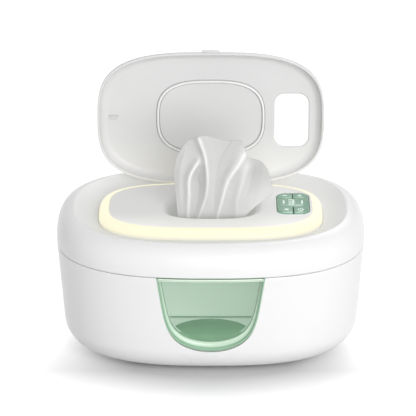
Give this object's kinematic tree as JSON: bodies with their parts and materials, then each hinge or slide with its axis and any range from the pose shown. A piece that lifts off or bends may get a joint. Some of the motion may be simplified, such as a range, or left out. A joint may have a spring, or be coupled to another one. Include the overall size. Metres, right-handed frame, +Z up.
{
  "type": "baby wipe warmer",
  "caption": "Countertop box that keeps baby wipes warm and moist, with a front window, a lit ring, a keypad and a flip lid over the dispensing mouth.",
  "frame": {"origin": "on the table under the middle of the body", "axes": "+X to the right as seen from the front, +Y to the rear hinge, +Z up"},
  "size_m": [0.24, 0.176, 0.2155],
  "materials": {
    "shell_white": "satin white injection-moulded shell",
    "liner_white": "matt white moulded inner part",
    "lid_white": "satin white lid",
    "glow": "translucent warm white light ring",
    "green_clear": "clear green tinted plastic",
    "green_frame": "translucent green bevelled frame",
    "key_green": "green keys with pale icons",
    "silicone": "soft pale silicone",
    "foot_rubber": "grey rubber",
    "felt": "dark green moisture felt",
    "aluminium": "plain sheet",
    "steel": "plain pins and screws",
    "film_orange": "polyimide heater film",
    "board_green": "circuit board",
    "part_black": "moulded components",
    "led_white": "small light emitters",
    "foam": "insulating foam sheet",
    "wipe": "white non-woven wipe"
  },
  "bodies": {
    "base": {"base_shell": "shell_white", "window_frame": "green_frame", "window_pane": "green_clear", "window_gasket": "silicone", "inner_tub": "liner_white", "tub_divider": "liner_white", "moisture_pad": "felt", "heater_plate": "aluminium", "heater_film": "film_orange", "insulation_sheet": "foam", "heater_retainer": "aluminium", "retainer_screws": "steel", "thermistor": "part_black", "thermal_fuse": "part_black", "main_board": "board_green", "board_components": "part_black", "dc_jack": "part_black", "bottom_cover": "shell_white", "bottom_screws": "steel", "feet": "foot_rubber", "base_hinge": "shell_white", "hinge_pin": "steel"},
    "cover": {"cover_hinge": "shell_white", "cover_shell": "shell_white", "glow_ring": "glow", "deck_panel": "shell_white", "cover_liner": "liner_white", "cover_gasket": "silicone", "cover_screws": "steel", "led_board": "liner_white", "leds": "led_white", "control_board": "board_green", "tact_switches": "part_black", "display_module": "part_black", "display_window": "key_green", "keypad_carrier": "liner_white", "lid_pin": "steel", "wipe_sheet": "wipe"},
    "lid": {"lid_shell": "lid_white", "lid_seal": "silicone"},
    "key_minus": {"key_minus": "key_green"},
    "key_plus": {"key_plus": "key_green"},
    "key_light": {"key_light": "key_green"},
    "key_power": {"key_power": "key_green"}
  },
  "joints": [
    {"name": "cover_hinge", "type": "hinge", "parent": "base", "child": "cover", "pos_m": [0, 0.085, 0.0855], "axis": [-1, 0, 0], "range_deg": [0, 80]},
    {"name": "lid_hinge", "type": "hinge", "parent": "cover", "child": "lid", "pos_m": [0, 0.0546, 0.1042], "axis": [1, 0, 0], "range_deg": [0, 93], "deforming": ["wipe_sheet"]},
    {"name": "key_minus_press", "type": "slide", "parent": "cover", "child": "key_minus", "axis": [0, 0, -1], "range_m": [0, 0.0008], "stiffness_N_per_m": 900, "springref_m": -0.0004},
    {"name": "key_plus_press", "type": "slide", "parent": "cover", "child": "key_plus", "axis": [0, 0, -1], "range_m": [0, 0.0008], "stiffness_N_per_m": 900, "springref_m": -0.0004},
    {"name": "key_light_press", "type": "slide", "parent": "cover", "child": "key_light", "axis": [0, 0, -1], "range_m": [0, 0.0008], "stiffness_N_per_m": 900, "springref_m": -0.0004},
    {"name": "key_power_press", "type": "slide", "parent": "cover", "child": "key_power", "axis": [0, 0, -1], "range_m": [0, 0.0008], "stiffness_N_per_m": 900, "springref_m": -0.0004}
  ]
}
